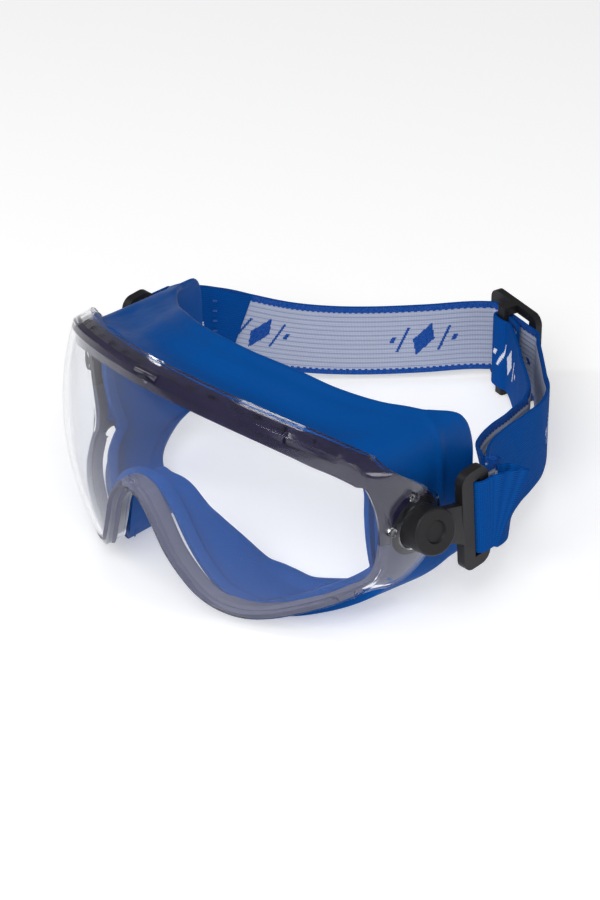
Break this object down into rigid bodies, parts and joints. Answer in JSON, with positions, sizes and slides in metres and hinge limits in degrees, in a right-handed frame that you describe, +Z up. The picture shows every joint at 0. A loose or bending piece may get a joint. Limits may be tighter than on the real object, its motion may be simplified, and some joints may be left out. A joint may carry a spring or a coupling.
{
  "type": "safety goggles",
  "caption": "Wide-vision safety goggles with a clear wrap-around lens, a vented frame, a soft face skirt, swivelling strap clips and an elastic head strap with a slider.",
  "frame": {"origin": "middle of the goggles and their strap in plan, on the table they lie on", "axes": "-Y is where the lens looks, +Y runs back to the strap's slider, +X is the wearer's left, +Z is up"},
  "size_m": [0.1778, 0.2078, 0.0916],
  "materials": {
    "lens_clear": "polished clear polycarbonate",
    "frame_violet": "glossy dark violet moulding",
    "frame_smoke": "glossy smoke-grey moulding",
    "skirt_blue": "soft matte blue elastomer",
    "clip_black": "finely textured black nylon",
    "strap_knit": "knitted elastic, blue outside and light grey ribs inside",
    "thread_blue": "blue sewing thread"
  },
  "bodies": {
    "goggles": {"lens": "lens_clear", "vent_frame": "frame_violet", "lower_frame": "frame_smoke", "face_skirt": "skirt_blue", "pivot_base_left": "clip_black", "pivot_base_right": "clip_black", "pivot_pin_left": "clip_black", "pivot_pin_right": "clip_black", "strap_main": "strap_knit", "strap_return": "strap_knit", "strap_tail": "strap_knit", "tail_stitching": "thread_blue"},
    "clip_left": {"clip_left": "clip_black", "strap_fold_left": "strap_knit"},
    "clip_right": {"clip_right": "clip_black", "strap_fold_right": "strap_knit"},
    "slider": {"slider": "clip_black", "strap_end_loop": "strap_knit", "end_stitching": "thread_blue"}
  },
  "joints": [
    {"name": "clip_left_swivel", "type": "hinge", "parent": "goggles", "child": "clip_left", "pos_m": [0.0868, -0.0425, 0.0431], "axis": [0.9619, -0.14, 0.235], "range_deg": [-20, 20]},
    {"name": "clip_right_swivel", "type": "hinge", "parent": "goggles", "child": "clip_right", "pos_m": [-0.0868, -0.0425, 0.0431], "axis": [-0.9619, -0.14, 0.235], "range_deg": [-20, 20]},
    {"name": "slider_slide", "type": "slide", "parent": "goggles", "child": "slider", "axis": [0.9781, -0.2079, 0], "range_m": [-0.005, 0.005]}
  ]
}
